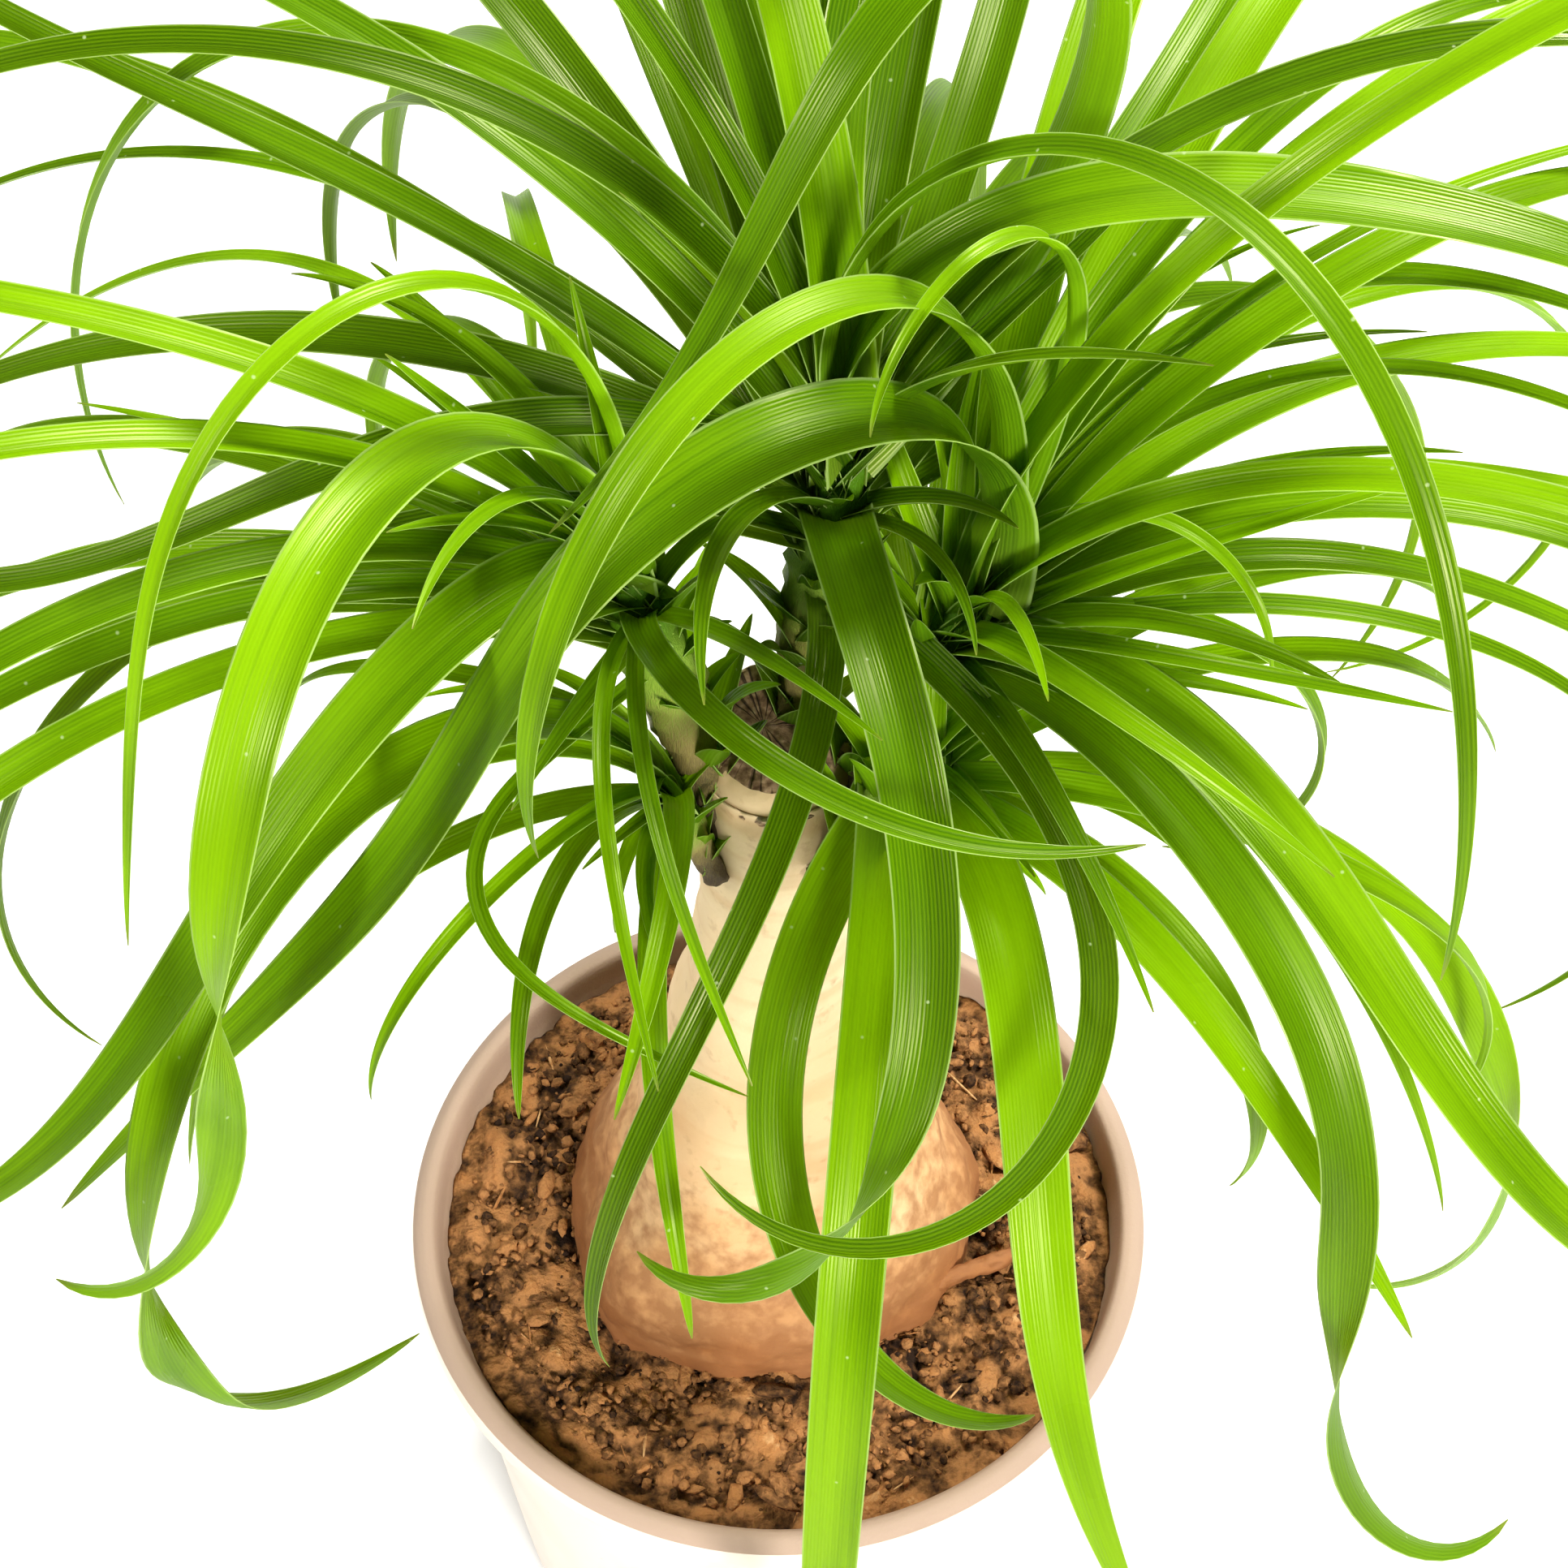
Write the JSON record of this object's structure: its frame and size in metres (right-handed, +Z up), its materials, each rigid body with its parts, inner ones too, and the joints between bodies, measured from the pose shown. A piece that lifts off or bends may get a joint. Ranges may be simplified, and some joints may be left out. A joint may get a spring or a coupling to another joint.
{
  "type": "potted ponytail palm",
  "caption": "Houseplant with a swollen trunk, a sawn top and long arching strap leaves, growing in a round clay pot that stands on a flat foot.",
  "frame": {"origin": "centre of the pot's flat underside", "axes": "+Z up along the pot's axis, the pictured side faces -Y, +X to the viewer's right"},
  "size_m": [0.5147, 0.4155, 0.5686],
  "materials": {
    "pot": "off-white satin glaze outside, bare clay on the rim and inside",
    "soil": "crumbly potting mix of peat and bark chips, matt",
    "bark": "thin cracked bark with faint rings, matt",
    "leaf": "leathery green leaf with fine ribs, satin"
  },
  "bodies": {
    "root": {"pot": "pot", "soil": "soil", "trunk": "bark", "head_back": "leaf", "head_right": "leaf", "head_front": "leaf", "head_left": "leaf", "head_shoot": "leaf"}
  },
  "joints": []
}
